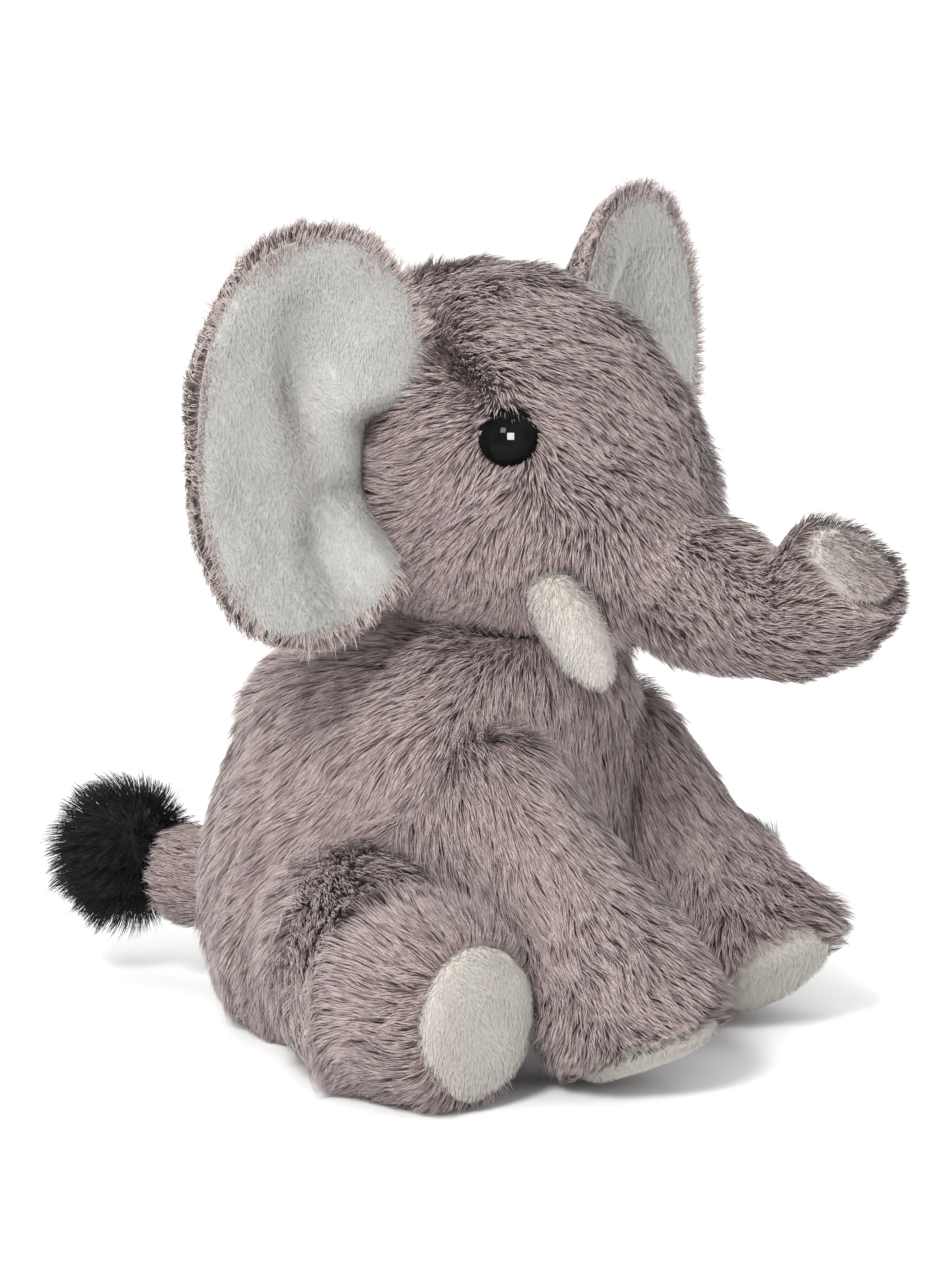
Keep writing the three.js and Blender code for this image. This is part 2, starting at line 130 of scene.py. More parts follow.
def with_modifiers(obj, *modifiers):
    """Applies modifiers, each a type and its settings."""
    for kind, settings in modifiers:
        modifier = obj.modifiers.new(kind.title(), kind)
        for key, value in settings.items():
            setattr(modifier, key, value)
    evaluated = obj.evaluated_get(bpy.context.evaluated_depsgraph_get())
    mesh = bpy.data.meshes.new_from_object(evaluated)
    obj.modifiers.clear()
    obj.data = mesh
    mesh.shade_smooth()
    return obj


def soft_skin(name, solids, voxel, smooth):
    """One closed, smooth skin round the bmesh solids."""
    joined = bmesh.new()
    for bm in solids:
        part = mesh_from(bm, "part")
        joined.from_mesh(part)
        bpy.data.meshes.remove(part)
    made = add_object(name, mesh_from(joined, name))
    return with_modifiers(
        made,
        ("REMESH", {"mode": "VOXEL", "voxel_size": voxel}),
        ("SMOOTH", {"factor": 0.5, "iterations": smooth}),
    )


def positions(mesh):
    co = np.empty(len(mesh.vertices) * 3)
    mesh.vertices.foreach_get("co", co)
    return co.reshape(-1, 3)


def vertex_normals(mesh):
    normals = np.empty(len(mesh.vertices) * 3)
    mesh.vertices.foreach_get("normal", normals)
    return normals.reshape(-1, 3)


def move_vertices(obj, co):
    obj.data.vertices.foreach_set("co", co.ravel())
    obj.data.update()


def pushed(obj, amount):
    """Moves the skin along its normals. `amount` is a distance, or one for each vertex."""
    co = positions(obj.data) + vertex_normals(obj.data) * np.reshape(amount, (-1, 1))
    move_vertices(obj, co)
    return obj


def waves(points, scale, seed, octaves=5):
    """A smooth random number about -1..1 for each point, that changes over `scale` metres."""
    rng = np.random.default_rng(seed)
    total = np.zeros(len(points))
    for _ in range(octaves):
        way = rng.normal(size=3)
        way /= np.linalg.norm(way)
        total += np.sin(points @ way * rng.uniform(0.7, 1.4) * 2 * math.pi / scale + rng.uniform(0, 7))
    return total / math.sqrt(octaves)


CLOTH_VOXEL = 4.5 * MM
CLOTH_FRAMES = 16
CLOTH_PRESSURE = 4.0
CLOTH_MOST = 1.2 * MM  # no point of a skin moves by more than this


def stuffed(obj):
    """Swells the skin by cloth simulation, so that the fabric pulls and puckers as over stuffing."""
    with_modifiers(obj, ("REMESH", {"mode": "VOXEL", "voxel_size": CLOTH_VOXEL}))
    start = positions(obj.data)
    modifier = obj.modifiers.new("Cloth", "CLOTH")
    cloth = modifier.settings
    cloth.use_pressure = True
    cloth.uniform_pressure_force = CLOTH_PRESSURE
    cloth.effector_weights.gravity = 0
    modifier.point_cache.frame_start = 1
    modifier.point_cache.frame_end = CLOTH_FRAMES
    for step in range(1, CLOTH_FRAMES + 1):
        scene.frame_set(step)
    swollen = bpy.data.meshes.new_from_object(obj.evaluated_get(bpy.context.evaluated_depsgraph_get()))
    obj.modifiers.clear()
    moved = positions(swollen) - start
    length = np.linalg.norm(moved, axis=1, keepdims=True)
    move_vertices(obj, start + moved * np.minimum(1, CLOTH_MOST / np.maximum(length, 1e-9)))
    bpy.data.meshes.remove(swollen)
    scene.frame_set(1)
    return with_modifiers(obj, ("SUBSURF", {"levels": 1, "render_levels": 1}))


def tree_of(obj):
    return BVHTree.FromPolygons(
        [v.co.copy() for v in obj.data.vertices],
        [tuple(p.vertices) for p in obj.data.polygons],
    )


# ---------- materials ----------
def srgb(red, green, blue):
    """A colour given as it shows on a screen, from 0 to 255, as the shader's linear values."""
    values = [c / 255 for c in (red, green, blue)]
    return [c / 12.92 if c <= 0.04045 else ((c + 0.055) / 1.055) ** 2.4 for c in values] + [1]


def new_material(name):
    material = bpy.data.materials.new(name)
    material.use_nodes = True
    shader = material.node_tree.nodes["Principled BSDF"]
    return material, material.node_tree, shader


def add_node(tree, kind, **settings):
    node = tree.nodes.new(kind)
    for key, value in settings.items():
        if key in node.inputs:
            node.inputs[key].default_value = value
        else:
            setattr(node, key, value)
    return node


def mottled(tree, colours, scale, detail=4.0):
    """Two outputs: a colour that wanders between some colours over patches of 1 / scale metres, and
    the place on the object."""
    place = add_node(tree, "ShaderNodeTexCoord")
    noise = add_node(tree, "ShaderNodeTexNoise", Scale=scale, Detail=detail, Distortion=0.3)
    ramp = add_node(tree, "ShaderNodeValToRGB")
    stops = ramp.color_ramp.elements
    stops[0].position, stops[1].position = 0.3, 0.7
    stops[0].color, stops[1].color = colours[0], colours[-1]
    for i, colour in enumerate(colours[1:-1], 1):
        stops.new(0.3 + 0.4 * i / (len(colours) - 1)).color = colour
    tree.links.new(place.outputs["Object"], noise.inputs["Vector"])
    tree.links.new(noise.outputs["Fac"], ramp.inputs["Fac"])
    return ramp.outputs["Color"], place.outputs["Object"]


def pile_bump(tree, shader, place, scale, depth):
    """The grain of a short pile, as a bump of fine noise."""
    noise = add_node(tree, "ShaderNodeTexNoise", Scale=scale, Detail=3.0, Distortion=0.8)
    bump = add_node(tree, "ShaderNodeBump", Strength=0.6, Distance=depth)
    tree.links.new(place, noise.inputs["Vector"])
    tree.links.new(noise.outputs["Fac"], bump.inputs["Height"])
    tree.links.new(bump.outputs["Normal"], shader.inputs["Normal"])


def fabric(name, colours, patch, grain, depth):
    """Matt fabric whose colour wanders between some shades and whose surface has a fine grain."""
    material, tree, shader = new_material(name)
    colour, place = mottled(tree, colours, patch)
    tree.links.new(colour, shader.inputs["Base Color"])
    pile_bump(tree, shader, place, grain, depth)
    shader.inputs["Roughness"].default_value = 0.95
    shader.inputs["Specular IOR Level"].default_value = 0.15
    shader.inputs["Sheen Weight"].default_value = 0.25
    shader.inputs["Sheen Roughness"].default_value = 0.6
    return material


def moulded(name, colours, roughness, specular):
    """Smooth plastic with faint moulding marks in its colour and gloss."""
    material, tree, shader = new_material(name)
    colour, place = mottled(tree, colours, 300, detail=2.0)
    tree.links.new(colour, shader.inputs["Base Color"])
    smears = add_node(tree, "ShaderNodeTexNoise", Scale=450, Detail=3.0)
    gloss = add_node(tree, "ShaderNodeMapRange")
    gloss.inputs["To Min"].default_value = roughness * 0.8
    gloss.inputs["To Max"].default_value = roughness * 1.2
    tree.links.new(place, smears.inputs["Vector"])
    tree.links.new(smears.outputs["Fac"], gloss.inputs["Value"])
    tree.links.new(gloss.outputs["Result"], shader.inputs["Roughness"])
    shader.inputs["Specular IOR Level"].default_value = specular
    return material


BACKING = fabric(
    "plush_backing", [srgb(84, 71, 69), srgb(98, 85, 82), srgb(112, 98, 95)], 160, 1500, 0.4 * MM
)
BLACK_BACKING = fabric("pompom_backing", [srgb(12, 12, 14), srgb(26, 26, 29)], 200, 1500, 0.4 * MM)
PALE_VELVET = fabric(
    "pale_velvet", [srgb(184, 183, 179), srgb(190, 189, 185), srgb(195, 194, 190)], 190, 2600, 0.25 * MM
)
CREAM_VELVET = fabric(
    "cream_velvet", [srgb(176, 170, 162), srgb(182, 176, 168), srgb(188, 182, 175)], 230, 2600, 0.25 * MM
)
FIBRE_FILL = fabric("fibre_fill", [srgb(228, 228, 222), srgb(246, 246, 242)], 90, 500, 1 * MM)
POUCH_COTTON = fabric("pouch_cotton", [srgb(220, 213, 196), srgb(231, 226, 212)], 300, 900, 0.3 * MM)
EYE_PLASTIC = moulded("eye_plastic", [srgb(2, 2, 2), srgb(5, 5, 5)], 0.05, 0.05)
WASHER_PLASTIC = moulded("washer_plastic", [srgb(222, 222, 220), srgb(234, 234, 232)], 0.45, 0.5)


def strand_material(name, colour, sheen):
    """A strand's finish. Its colour changes along it, with painted shade darkening the root deep in the
    pile and painted light on the tip, and from strand to strand, by material slots.
    """
    material, _, shader = new_material(name)
    shader.inputs["Base Color"].default_value = colour
    shader.inputs["Roughness"].default_value = 0.75
    shader.inputs["Specular IOR Level"].default_value = 0.2
    shader.inputs["Sheen Weight"].default_value = sheen
    shader.inputs["Sheen Roughness"].default_value = 0.5
    return material


def strand_materials(name, shades, sheen=0.25):
    """Three materials for each shade, for the strand's root, middle and tip: the root darkened by
    painted shade, the tip lightened by painted light.
    """
    zones = ("root", "middle", "tip")
    return [
        strand_material(f"{name}_{i}_{zone}", colour, sheen)
        for i, shade in enumerate(shades)
        for zone, colour in zip(zones, shade)
    ]


# Each shade in these strand tables runs root, middle, tip: the darker root is painted shade deep in the
# pile, the lighter tip painted light.
GREY_STRANDS = strand_materials(
    "grey_strand",
    [
        (srgb(112, 96, 94), srgb(142, 126, 124), srgb(174, 159, 157)),
        (srgb(114, 98, 95), srgb(146, 130, 127), srgb(180, 165, 162)),
        (srgb(117, 101, 97), srgb(149, 133, 130), srgb(185, 170, 167)),
        (srgb(109, 93, 91), srgb(138, 122, 121), srgb(168, 153, 152)),
    ],
)
# Lighter copies of the grey strands for the ears' pile: painted light, for the light that catches the
# ears' rims.
PAINTED_LIGHT_RIM_STRANDS = strand_materials(
    "rim_strand",
    [
        (srgb(142, 126, 123), srgb(176, 161, 157), srgb(206, 193, 189)),
        (srgb(136, 120, 117), srgb(168, 153, 149), srgb(197, 184, 180)),
    ],
)
BLACK_STRANDS = strand_materials(
    "black_strand",
    [
        (srgb(4, 4, 5), srgb(9, 9, 10), srgb(18, 18, 20)),
        (srgb(5, 5, 6), srgb(13, 13, 15), srgb(36, 36, 40)),
    ],
    sheen=0.02,
)
PALE_STRANDS = strand_materials(
    "pale_strand",
    [
        (srgb(184, 183, 179), srgb(189, 188, 184), srgb(194, 193, 189)),
        (srgb(181, 180, 176), srgb(186, 185, 181), srgb(191, 190, 186)),
    ],
)
CREAM_STRANDS = strand_materials(
    "cream_strand",
    [
        (srgb(183, 178, 171), srgb(187, 183, 176), srgb(191, 187, 181)),
        (srgb(180, 175, 168), srgb(184, 180, 173), srgb(188, 184, 178)),
    ],
)


# ---------- pile ----------
@dataclass(frozen=True)
class Pile:
    """How a fabric's pile stands."""

    length: float  # of a strand
    density: float  # strands to the square metre
    width: float  # of a strand, at its root
    lift: float  # how steeply a strand leaves the skin, in degrees
    droop: float  # how much of that it loses by its tip, in degrees
    clump: float  # distance between locks, or 0 for none
    gather: float  # how far a lock's strands close up at their tips, 0..1
    swirl: float  # how far the lie of the pile wanders, in degrees
    roll: float = 35  # how far the strands are turned about their own length, in degrees


LONG_PILE = Pile(7.2 * MM, 4.8e6, 0.25 * MM, 36, 28, 1.5 * MM, 0.3, 16)
FACE_PILE = replace(LONG_PILE, length=5.4 * MM, clump=1.1 * MM)
RIM_PILE = replace(LONG_PILE, length=4.2 * MM, lift=26)
BLACK_PILE = Pile(7 * MM, 5e6, 0.19 * MM, 62, 30, 1.5 * MM, 0.35, 24)
VELVET_PILE = Pile(1.4 * MM, 6e6, 0.2 * MM, 34, 16, 0, 0, 20, 8)
GUIDE_BLUR = 11 * MM  # how far the comb's guides run into each other
TRIM_WIDTH = 6 * MM  # beside soles, tusks and the trunk's pad, the pile is trimmed over this width
TRIM_LEAST = 0.6  # the part of its length that it keeps there
BENDS = 3  # stretches in a strand
FLOOR_CLEARANCE = 0.3 * MM  # strands under the toy are pressed flat


def scattered(obj, density, rng):
    """Points spread evenly over a skin, and the skin's normals there."""
    mesh = obj.data
    mesh.calc_loop_triangles()
    corners = np.empty(len(mesh.loop_triangles) * 3, int)
    mesh.loop_triangles.foreach_get("vertices", corners)
    corners = corners.reshape(-1, 3)
    co, normals = positions(mesh)[corners], vertex_normals(mesh)[corners]
    area = np.linalg.norm(np.cross(co[:, 1] - co[:, 0], co[:, 2] - co[:, 0]), axis=1) / 2
    count = int(area.sum() * density)
    chosen = rng.choice(len(area), count, p=area / area.sum())
    u, v = rng.random((2, count))
    flip = u + v > 1
    u[flip], v[flip] = 1 - u[flip], 1 - v[flip]
    share = np.stack([1 - u - v, u, v], axis=1)[:, :, None]
    return (co[chosen] * share).sum(1), unit((normals[chosen] * share).sum(1))


def unit(vectors):
    return vectors / np.maximum(np.linalg.norm(vectors, axis=-1, keepdims=True), 1e-12)


def combed(points, normals, guides):
    """The lie of the pile at each point, from the guides near it, laid flat on the skin. Its length
    is 1 where those guides are long and agree, and less elsewhere."""
    places = np.array([place for place, _ in guides], float)
    ways = np.array([way for _, way in guides], float)
    ways /= np.maximum(1, np.linalg.norm(ways, axis=1, keepdims=True))
    distance = np.linalg.norm(points[:, None] - places[None], axis=2)
    weight = 1 / (distance**2 + GUIDE_BLUR**2) ** 2
    weight /= weight.sum(1, keepdims=True)
    way = (weight[:, :, None] * ways[None]).sum(1)
    flat = way - normals * (way * normals).sum(1, keepdims=True)
    return flat / np.maximum(1, np.linalg.norm(flat, axis=1, keepdims=True) * 1.25) * 1.25


def turned_about(vectors, axes, angles):
    """Each vector turned about its own axis, which is square to it."""
    angles = np.reshape(angles, (-1, 1))
    return vectors * np.cos(angles) + np.cross(axes, vectors) * np.sin(angles)


def lock_of_each(points, spacing, density, rng):
    """For each point, the number of the point at the heart of its lock."""
    hearts = rng.permutation(len(points))[: max(1, int(len(points) / (spacing**2 * density)))]
    tree = KDTree(len(hearts))
    for heart in hearts:
        tree.insert(points[heart], int(heart))
    tree.balance()
    return np.array([tree.find(point)[1] for point in points])


def grow_pile(name, skin, pile, guides, materials, seed, bare, trimmed_by=()):
    """Strands of pile over a skin, as tapering ribbons. `bare` says at which points none grow, and
    the pile is trimmed short beside the skins whose trees are in `trimmed_by`."""
    rng = np.random.default_rng(seed)
    roots, normals = scattered(skin, pile.density, rng)
    kept = ~bare(roots, normals)
    roots, normals = roots[kept], normals[kept]
    count = len(roots)
    lie = combed(roots, normals, guides)
    lie = turned_about(lie, normals, waves(roots, 16 * MM, seed + 1) * math.radians(pile.swirl))
    own_turn = rng.normal(0, math.radians(5), count)
    height = 1 + 0.12 * waves(roots, 9 * MM, seed + 2) + rng.normal(0, 0.1, count)
    gather = np.zeros((count, 3))
    shade_wave = waves(roots, 7 * MM, seed + 3) + rng.normal(0, 0.9, count)
    if pile.clump:
        heart = lock_of_each(roots, pile.clump, pile.density, rng)
        lock_turn = rng.normal(0, math.radians(9), count)[heart]
        lie = turned_about(lie, normals, lock_turn)
        gather = (roots[heart] - roots) * pile.gather
        height *= 1 + 0.1 * rng.normal(size=count)[heart]
    lie = turned_about(lie, normals, own_turn)
    length = pile.length * np.clip(height, 0.5, 1.5) * trimming(roots, trimmed_by)
    standing = 6 * waves(roots, 24 * MM, seed + 4)
    centres, way = strand_paths(roots, normals, lie, length, gather, pile, standing)

    roll = rng.normal(0, math.radians(pile.roll), count)
    side = unit(turned_about(np.cross(way, normals), way, roll))
    shades = len(materials) // BENDS
    shade = np.digitize(shade_wave, np.linspace(-1.0, 1.0, shades + 1)[1:-1])
    facing = unit(normals * 0.8 + np.cross(side, way) * 0.35 + lie * 0.12)
    return ribbons(name, centres, side, pile.width, facing, shade, materials)


def strand_paths(roots, normals, lie, length, gather, pile, standing):
    """The ends of each strand's stretches, and the way that its middle stretch runs. A strand leaves
    the skin steeply and bends over. In the heart of a whorl, where the lie is short, it stands up."""
    centres, ways = [roots], []
    for bend in range(BENDS):
        angle = np.radians(pile.lift - pile.droop * bend / (BENDS - 1) + standing)[:, None]
        way = unit(lie * np.cos(angle) + normals * np.sin(angle))
        ways.append(way)
        centres.append(centres[-1] + way * length[:, None] / BENDS)
    drawn = [c + gather * (k / BENDS) ** 1.4 for k, c in enumerate(centres)]
    for row in drawn:
        row[:, 2] = np.maximum(row[:, 2], FLOOR_CLEARANCE)
    return drawn, ways[1]


def trimming(points, trees):
    """The part of the pile's length that is left at each point."""
    left = np.ones(len(points))
    for tree in trees:
        far = np.array([tree.find_nearest(Vector(point))[3] for point in points])
        left = np.minimum(left, TRIM_LEAST + (1 - TRIM_LEAST) * far / TRIM_WIDTH)
    return left


def ribbons(name, centres, side, width, facing, shade, materials):
    """A mesh of ribbons, one for each strand: four-cornered stretches and a pointed tip."""
    count = len(side)
    rows = []
    for k in range(BENDS):
        half = side * width * (1 - 0.25 * k) / 2
        rows += [centres[k] - half, centres[k] + half]
    rows.append(centres[BENDS])
    co = np.stack(rows, axis=1)
    corners_each = co.shape[1]
    faces, starts = [], []
    for k in range(BENDS):
        starts.append(len(faces))
        is_tip = k == BENDS - 1
        faces += [2 * k, 2 * k + 1, 2 * k + 2] if is_tip else [2 * k, 2 * k + 1, 2 * k + 3, 2 * k + 2]
    strands = np.arange(count)[:, None]
    loops = (strands * corners_each + np.array(faces)).ravel().astype(np.int32)
    loop_starts = (strands * len(faces) + np.array(starts)).ravel().astype(np.int32)
    mesh = bpy.data.meshes.new(name)
    mesh.vertices.add(count * corners_each)
    mesh.vertices.foreach_set("co", co.ravel())
    mesh.loops.add(len(loops))
    mesh.loops.foreach_set("vertex_index", loops)
    mesh.polygons.add(len(loop_starts))
    mesh.polygons.foreach_set("loop_start", loop_starts)
    for material in materials:
        mesh.materials.append(material)
    # Each stretch takes the material of its zone: painted shade at the root, painted light at the tip.
    zone = np.arange(BENDS)[None] + BENDS * shade[:, None]
    mesh.polygons.foreach_set("material_index", zone.ravel().astype(np.int32))
    mesh.update(calc_edges=True)
    mesh.shade_smooth()
    mesh.normals_split_custom_set_from_vertices(np.repeat(facing, corners_each, axis=0))
    return add_object(name, mesh)


def near(trees, distance, depth=1.2 * MM):
    """Says which points lie within `distance` of some skins, or `depth` inside them."""

    def test(points, normals):
        found = np.zeros(len(points), bool)
        for tree in trees:
            for i, point in enumerate(points):
                place, normal, _, far = tree.find_nearest(Vector(point))
                inside = (Vector(point) - place).dot(normal) < 0
                found[i] |= far < distance or (inside and far > depth)
        return found

    return test


def buried(trees, depth=1.5 * MM):
    """Says which points lie more than `depth` inside some skins."""
    return near(trees, -1, depth)


def either(*tests):
    """Any of the tests. Each is only put to the points that the ones before it left."""

    def test(points, normals):
        found = np.zeros(len(points), bool)
        for one in tests:
            left = np.flatnonzero(~found)
            found[left] = one(points[left], normals[left])
        return found

    return test


# ---------- skins ----------
def dress(obj, body, material, slot, *stands_for):
    """The piece's finish, the body it moves with, and the CAD nodes it stands for."""
    obj.data.materials.clear()
    obj.data.materials.append(material)
    if body:
        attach(obj, body)
    if stands_for:
        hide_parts(*stands_for)
    return obj


VOXEL = 1.6 * MM
POMPOM_SHIFT = 2 * MM  # the pompom sits close up against the tail

# The ear, in millimetres, for a head that looks straight ahead.
EAR_CENTRE = (57.5, 130.5)  # from the middle of the head, and height
EAR_HALF = (31.5, 40)
EAR_HINGE = (33, -4)
EAR_SWEEP = math.tan(math.radians(10))
EAR_CUP = 5
EAR_ROUNDNESS = 2.3
EAR_RINGS, EAR_AROUND = 26, 84


def eased(value, low, high):
    """0 up to `low`, 1 from `high`, and smooth between them. `high` may be the smaller of the two."""
    t = np.clip((value - low) / (high - low), 0, 1)
    return t * t * (3 - 2 * t)


def rounded(value):
    """A cosine or sine, for an outline a little squarer than an ellipse."""
    return np.sign(value) * np.abs(value) ** (2 / EAR_ROUNDNESS)


def ear_middle(x, z, reach):
    """How far back the ear's middle face is. Half way up, its root is folded back beside the head,
    and a valley runs down its middle."""
    face = EAR_HINGE[1] - 2 + (x - EAR_HINGE[0]) * EAR_SWEEP + EAR_CUP * (1 - reach**2)
    fold = 15 * eased(z, 98, 119) * eased(z, 137, 132) * np.exp(-(((x - 25) / 15) ** 2))
    valley = np.exp(-(((x - 54 - 0.12 * (z - 130)) / 8) ** 2))
    depth = 6 * np.exp(-(((z - 143) / 14) ** 2)) + 5 * np.exp(-(((z - 108) / 13) ** 2))
    tuck = 2.5 * np.exp(-(((z - 119) / 3) ** 2) - ((x - 44) / 6) ** 2)
    return face + fold + valley * depth + tuck


def ear_pillow(name, side, inset, front, back_inner, back_outer):
    """A closed ear panel: it swells by `front` to the front, and to the back by an amount that runs
    from `back_inner` beside the head to `back_outer`."""
    reach = np.sin(np.linspace(0, math.pi / 2, EAR_RINGS + 1))[1:, None]
    angle = np.linspace(0, 2 * math.pi, EAR_AROUND, endpoint=False)[None]
    dx = (EAR_HALF[0] - inset) * rounded(np.cos(angle)) * reach
    dz = (EAR_HALF[1] - inset) * rounded(np.sin(angle)) * reach
    x, z = EAR_CENTRE[0] + dx, EAR_CENTRE[1] + dz
    swell = np.sqrt(1 - np.minimum(1, reach) ** 4)
    back = back_inner + (back_outer - back_inner) * (dx / EAR_HALF[0] + 1) / 2
    bm = bmesh.new()

    def vertex(across, depth, height):
        return bm.verts.new(from_head(SIDES[side] * across, depth, height))

    for thickness in (-front, back):
        y = ear_middle(x, z, reach * (1 - inset / EAR_HALF[1])) + thickness * swell
        rings = [[vertex(*place) for place in zip(*ring)] for ring in zip(x, y, z)]
        heart_y = ear_middle(*EAR_CENTRE, 0) + np.mean(thickness)
        heart = vertex(EAR_CENTRE[0], heart_y, EAR_CENTRE[1])
        for j in range(EAR_AROUND):
            bm.faces.new((heart, rings[0][j], rings[0][(j + 1) % EAR_AROUND]))
        for inner, outer in zip(rings, rings[1:]):
            for j in range(EAR_AROUND):
                k = (j + 1) % EAR_AROUND
                bm.faces.new((inner[j], outer[j], outer[k], inner[k]))
    bmesh.ops.remove_doubles(bm, verts=bm.verts, dist=1e-6)
    bmesh.ops.recalc_face_normals(bm, faces=bm.faces)
    made = add_object(name, mesh_from(bm, name))
    return with_modifiers(made, ("SMOOTH", {"factor": 0.5, "iterations": 2}))


# The body's panels run on over the hips, so its skin takes in the tops of the thighs.
THIGH_TOP = -4 * MM
torso_solids = [hull(["body_cover_left", "body_cover_right", "seat_panel", "neck_ring"])]
for side in SIDES:
    torso_solids.append(hull([f"hind_leg_cover_{side}"], lambda co: co.y > THIGH_TOP))
torso = soft_skin("body_skin", torso_solids, 2 * MM, 18)
head = soft_skin(
    "head_skin",
    [
        hull(["head_cover_left", "head_cover_right", "head_gusset"]),
        welded(["trunk_cover", "trunk_tip_pad"], 0.6 * MM),
    ],
    VOXEL,
    8,
)


def beside_shoulder(sign):
    """The upper front leg and the flank behind it. Their hull is the web of plush between them."""

    def test(co):
        x, y, z = co / MM
        if abs(x) > 16 and y < -18:
            return 30 < z < 70
        return x * sign > 16 and -26 < y < 2 and 24 < z < 62

    return test


legs = {}
for side, sign in SIDES.items():
    for pair in ("hind", "front"):
        solids = [welded([f"{pair}_leg_cover_{side}", f"{pair}_sole_{side}"], 0.5 * MM)]
        if pair == "front":
            web = hull([f"front_leg_cover_{side}", f"body_cover_{side}"], beside_shoulder(sign))
            solids.append(web)
        legs[pair, side] = soft_skin(f"{pair}_leg_skin_{side}", solids, VOXEL, 8)
ears = {side: ear_pillow(f"ear_skin_{side}", side, 0, 0.6, 9, 4.5) for side in SIDES}
tail = soft_skin("tail_skin", [welded(["tail_cover", "tail_stuffing"], 1.5 * MM)], VOXEL, 3)
pompom = soft_skin("pompom_skin", [welded(["tail_pompom"], -2 * MM)], VOXEL, 3)
move_vertices(pompom, positions(pompom.data) - np.array([0, POMPOM_SHIFT, 0]))

# These skins are drawn in a little, to leave room for their pile.
for skin, grow in ((head, -1.0), (tail, -0.6)):
    pushed(skin, grow * MM)
# The stuffing is pressed up into the back, and out over the shoulders.
x, y, z = positions(torso.data).T / MM
back = eased(z, 48, 70) * eased(y, -5, 20)
shoulder = eased(np.abs(x), 12, 22) * eased(y, 2, -8) * eased(z, 42, 56) * eased(z, 78, 68)
pushed(torso, (1.0 * back + 3.5 * shoulder - 0.6) * MM)
# The front legs' tops stay full, to cover their own stuffing where they bend.
for (pair, _), skin in legs.items():
    top = eased(positions(skin.data)[:, 2] / MM, 48, 68) if pair == "front" else 0
    pushed(skin, -(0.8 - 0.4 * top) * MM)
for skin in (torso, *legs.values()):
    stuffed(skin)

VELVET_VOXEL = 1.2 * MM
PAD_VOXEL = 1 * MM
velvets = {}
for side in SIDES:
    velvets["ear", side] = ear_pillow(f"ear_velvet_{side}", side, 0.7, 2.8, 0.4, 0.4)
    tusk = hull([f"tusk_cover_{side}"])
    velvets["tusk", side] = soft_skin(f"tusk_velvet_{side}", [tusk], VELVET_VOXEL, 4)
    for pair in ("hind", "front"):
        sole = welded([f"{pair}_sole_{side}"], 1.0 * MM)
        velvets[pair, side] = soft_skin(f"{pair}_sole_velvet_{side}", [sole], VELVET_VOXEL, 3)
velvets["trunk", ""] = soft_skin("trunk_tip_velvet", [welded(["trunk_tip_pad"], 0.6 * MM)], PAD_VOXEL, 3)

dress(torso, "torso", BACKING, "plush_grey", "body_cover_left", "body_cover_right", "seat_panel")
HEAD_PANELS = ("head_cover_left", "head_cover_right", "head_gusset", "trunk_cover")
dress(head, None, BACKING, "plush_grey", *HEAD_PANELS)
for (pair, side), skin in legs.items():
    body = "hind_leg_" + side if pair == "hind" else None
    dress(skin, body, BACKING, "plush_grey", f"{pair}_leg_cover_{side}")
for side, skin in ears.items():
    dress(skin, f"ear_{side}", BACKING, "plush_grey", f"ear_back_{side}")
dress(tail, "tail", BACKING, "plush_grey", "tail_cover")
dress(pompom, "tail", BLACK_BACKING, "plush_black", "tail_pompom")
for side in SIDES:
    dress(velvets["ear", side], f"ear_{side}", PALE_VELVET, "velvet_pale", f"ear_front_{side}")
    dress(velvets["tusk", side], "head", CREAM_VELVET, "velvet_cream", f"tusk_cover_{side}")
    for pair in ("hind", "front"):
        velvet, body = velvets[pair, side], f"{pair}_leg_{side}"
        dress(velvet, body, CREAM_VELVET, "velvet_cream", f"{pair}_sole_{side}")
dress(velvets["trunk", ""], "trunk", CREAM_VELVET, "velvet_cream", "trunk_tip_pad")


def bends_with_trunk(obj):
    """The head's skin and pile run on over the trunk. Here their placement is only baked into their
    mesh.
    """
    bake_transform(obj)


def bends_at_shoulder(obj):
    """The front leg's skin and pile run on over the shoulder. Here their placement is only baked into
    their mesh.
    """
    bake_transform(obj)


bends_with_trunk(head)
for side, sign in SIDES.items():
    bends_at_shoulder(legs["front", side])

# ---------- eyes ----------
# In millimetres, for a head that looks straight ahead, and for the left eye.
EYE_PLACE = (28.8, -27.6, 129.6)
EYE_AIM = (0.8, -0.5, 0.33)
EYE_RADIUS = 6
EYE_DOME = 4.2
EYE_BARE = 5.2  # no pile grows within this of its middle


def eye_dome(side):
    """A polished domed button with a rounded edge, turned about its own axis."""
    quarter = np.linspace(0, math.pi / 2, 17)
    profile = [(EYE_RADIUS * math.cos(a), EYE_DOME * math.sin(a)) for a in quarter]
    profile = [(0, -1.2), (EYE_RADIUS * 0.7, -1.2), (EYE_RADIUS * 0.93, -0.8), *profile]
    bm = bmesh.new()
    row = [bm.verts.new((r * MM, 0, h * MM)) for r, h in profile]
    edges = [bm.edges.new(pair) for pair in zip(row, row[1:])]
    bmesh.ops.spin(bm, geom=row + edges, axis=(0, 0, 1), cent=(0, 0, 0), steps=48, angle=2 * math.pi)
    bmesh.ops.remove_doubles(bm, verts=bm.verts, dist=1e-6)
    bmesh.ops.recalc_face_normals(bm, faces=bm.faces)
    sign = SIDES[side]
    aim = Matrix.Rotation(HEAD_TURN, 3, "Z") @ Vector((sign * EYE_AIM[0], *EYE_AIM[1:]))
    bm.transform(aim.to_track_quat("Z", "Y").to_matrix().to_4x4())
    bmesh.ops.translate(bm, verts=bm.verts, vec=from_head(sign * EYE_PLACE[0], *EYE_PLACE[1:]))
    made = add_object(f"eye_dome_{side}", mesh_from(bm, "eye_dome"))
    made.data.shade_smooth()
    return made


